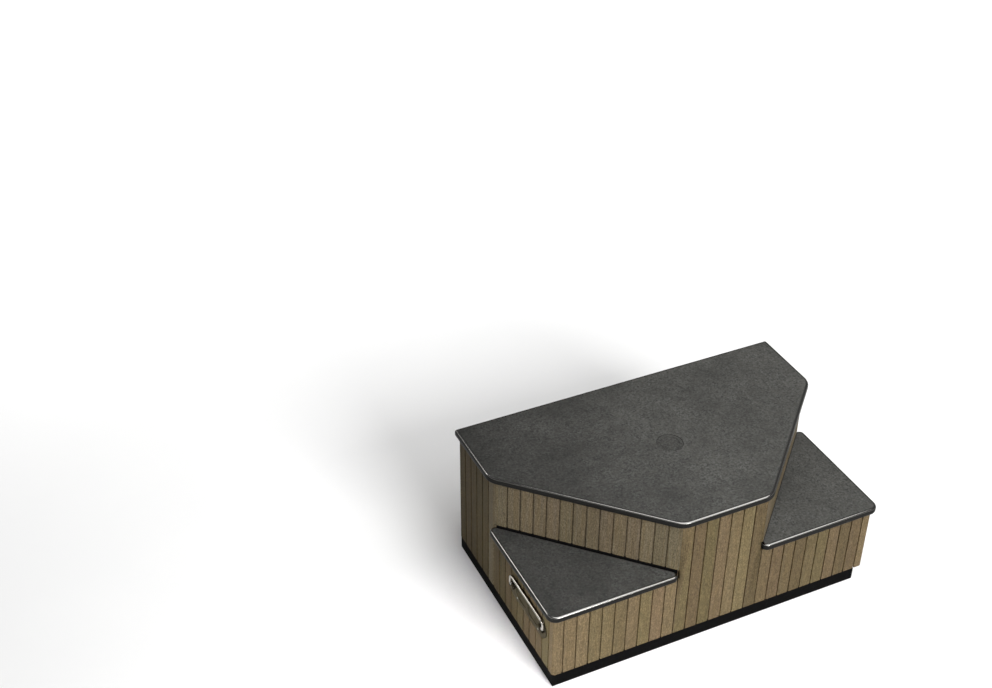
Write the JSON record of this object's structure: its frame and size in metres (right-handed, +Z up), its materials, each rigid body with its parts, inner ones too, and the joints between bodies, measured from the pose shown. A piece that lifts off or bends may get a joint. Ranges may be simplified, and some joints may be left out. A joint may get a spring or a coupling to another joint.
{
  "type": "spa steps",
  "caption": "Two-level slat-clad steps for the side of a hot tub, with grippy treads, a hollow framed body open at the back, and a folding pull handle.",
  "frame": {"origin": "bottom centre of the whole object: on the floor, half-way across and half-way back", "axes": "+X to the right as seen from the front, -Y to the front, +Y towards the tub, +Z up"},
  "size_m": [1.124, 0.662, 0.49],
  "materials": {
    "tread": "charcoal moulded plastic with a fine pebble grain and glossy rounded edges",
    "slats": "taupe wood-look polymer with fine upright grain",
    "plinth": "black moulded plastic, satin",
    "timber": "sawn softwood",
    "rubber": "black foam rubber seal",
    "chrome": "polished",
    "plate": "satin grey-brown metal",
    "steel": "bright zinc"
  },
  "bodies": {
    "steps": {"top_tread": "tread", "left_lower_tread": "tread", "right_lower_tread": "tread", "front_centre_panel": "slats", "front_left_panel": "slats", "left_side_panel": "slats", "left_rear_panel": "slats", "left_riser_panel": "slats", "front_left_corner": "slats", "left_shoulder_corner": "slats", "front_right_panel": "slats", "right_side_panel": "slats", "right_rear_panel": "slats", "right_riser_panel": "slats", "front_right_corner": "slats", "right_shoulder_corner": "slats", "front_plinth_rail": "plinth", "rear_plinth_rail": "plinth", "left_plinth_rail": "plinth", "right_plinth_rail": "plinth", "left_sole_rail": "plinth", "right_sole_rail": "plinth", "left_rear_post": "timber", "left_shoulder_stud": "timber", "left_riser_stud_rear": "timber", "left_riser_stud_front": "timber", "left_centre_post": "timber", "left_corner_post": "timber", "left_top_rail": "timber", "left_riser_top_rail": "timber", "left_riser_bearer": "timber", "left_side_bearer": "timber", "left_front_bearer": "timber", "left_riser_seal": "rubber", "right_rear_post": "timber", "right_shoulder_stud": "timber", "right_riser_stud_rear": "timber", "right_riser_stud_front": "timber", "right_centre_post": "timber", "right_corner_post": "timber", "right_top_rail": "timber", "right_riser_top_rail": "timber", "right_riser_bearer": "timber", "right_side_bearer": "timber", "right_front_bearer": "timber", "right_riser_seal": "rubber", "rear_top_rail": "timber", "front_top_rail": "timber", "tread_joist_1": "timber", "tread_joist_2": "timber", "tread_joist_3": "timber", "handle_plate": "plate", "handle_bracket_front": "plate", "handle_bracket_rear": "plate", "handle_spring": "steel", "handle_screw_1": "steel", "handle_screw_2": "steel", "handle_screw_3": "steel", "handle_screw_4": "steel"},
    "bail": {"handle_bail": "chrome"}
  },
  "joints": [
    {"name": "bail_hinge", "type": "hinge", "parent": "steps", "child": "bail", "pos_m": [-0.551, -0.156, 0.184], "axis": [0, -1, 0], "range_deg": [0, 100], "stiffness_Nm_per_rad": 0.05, "springref_deg": -34.38}
  ]
}
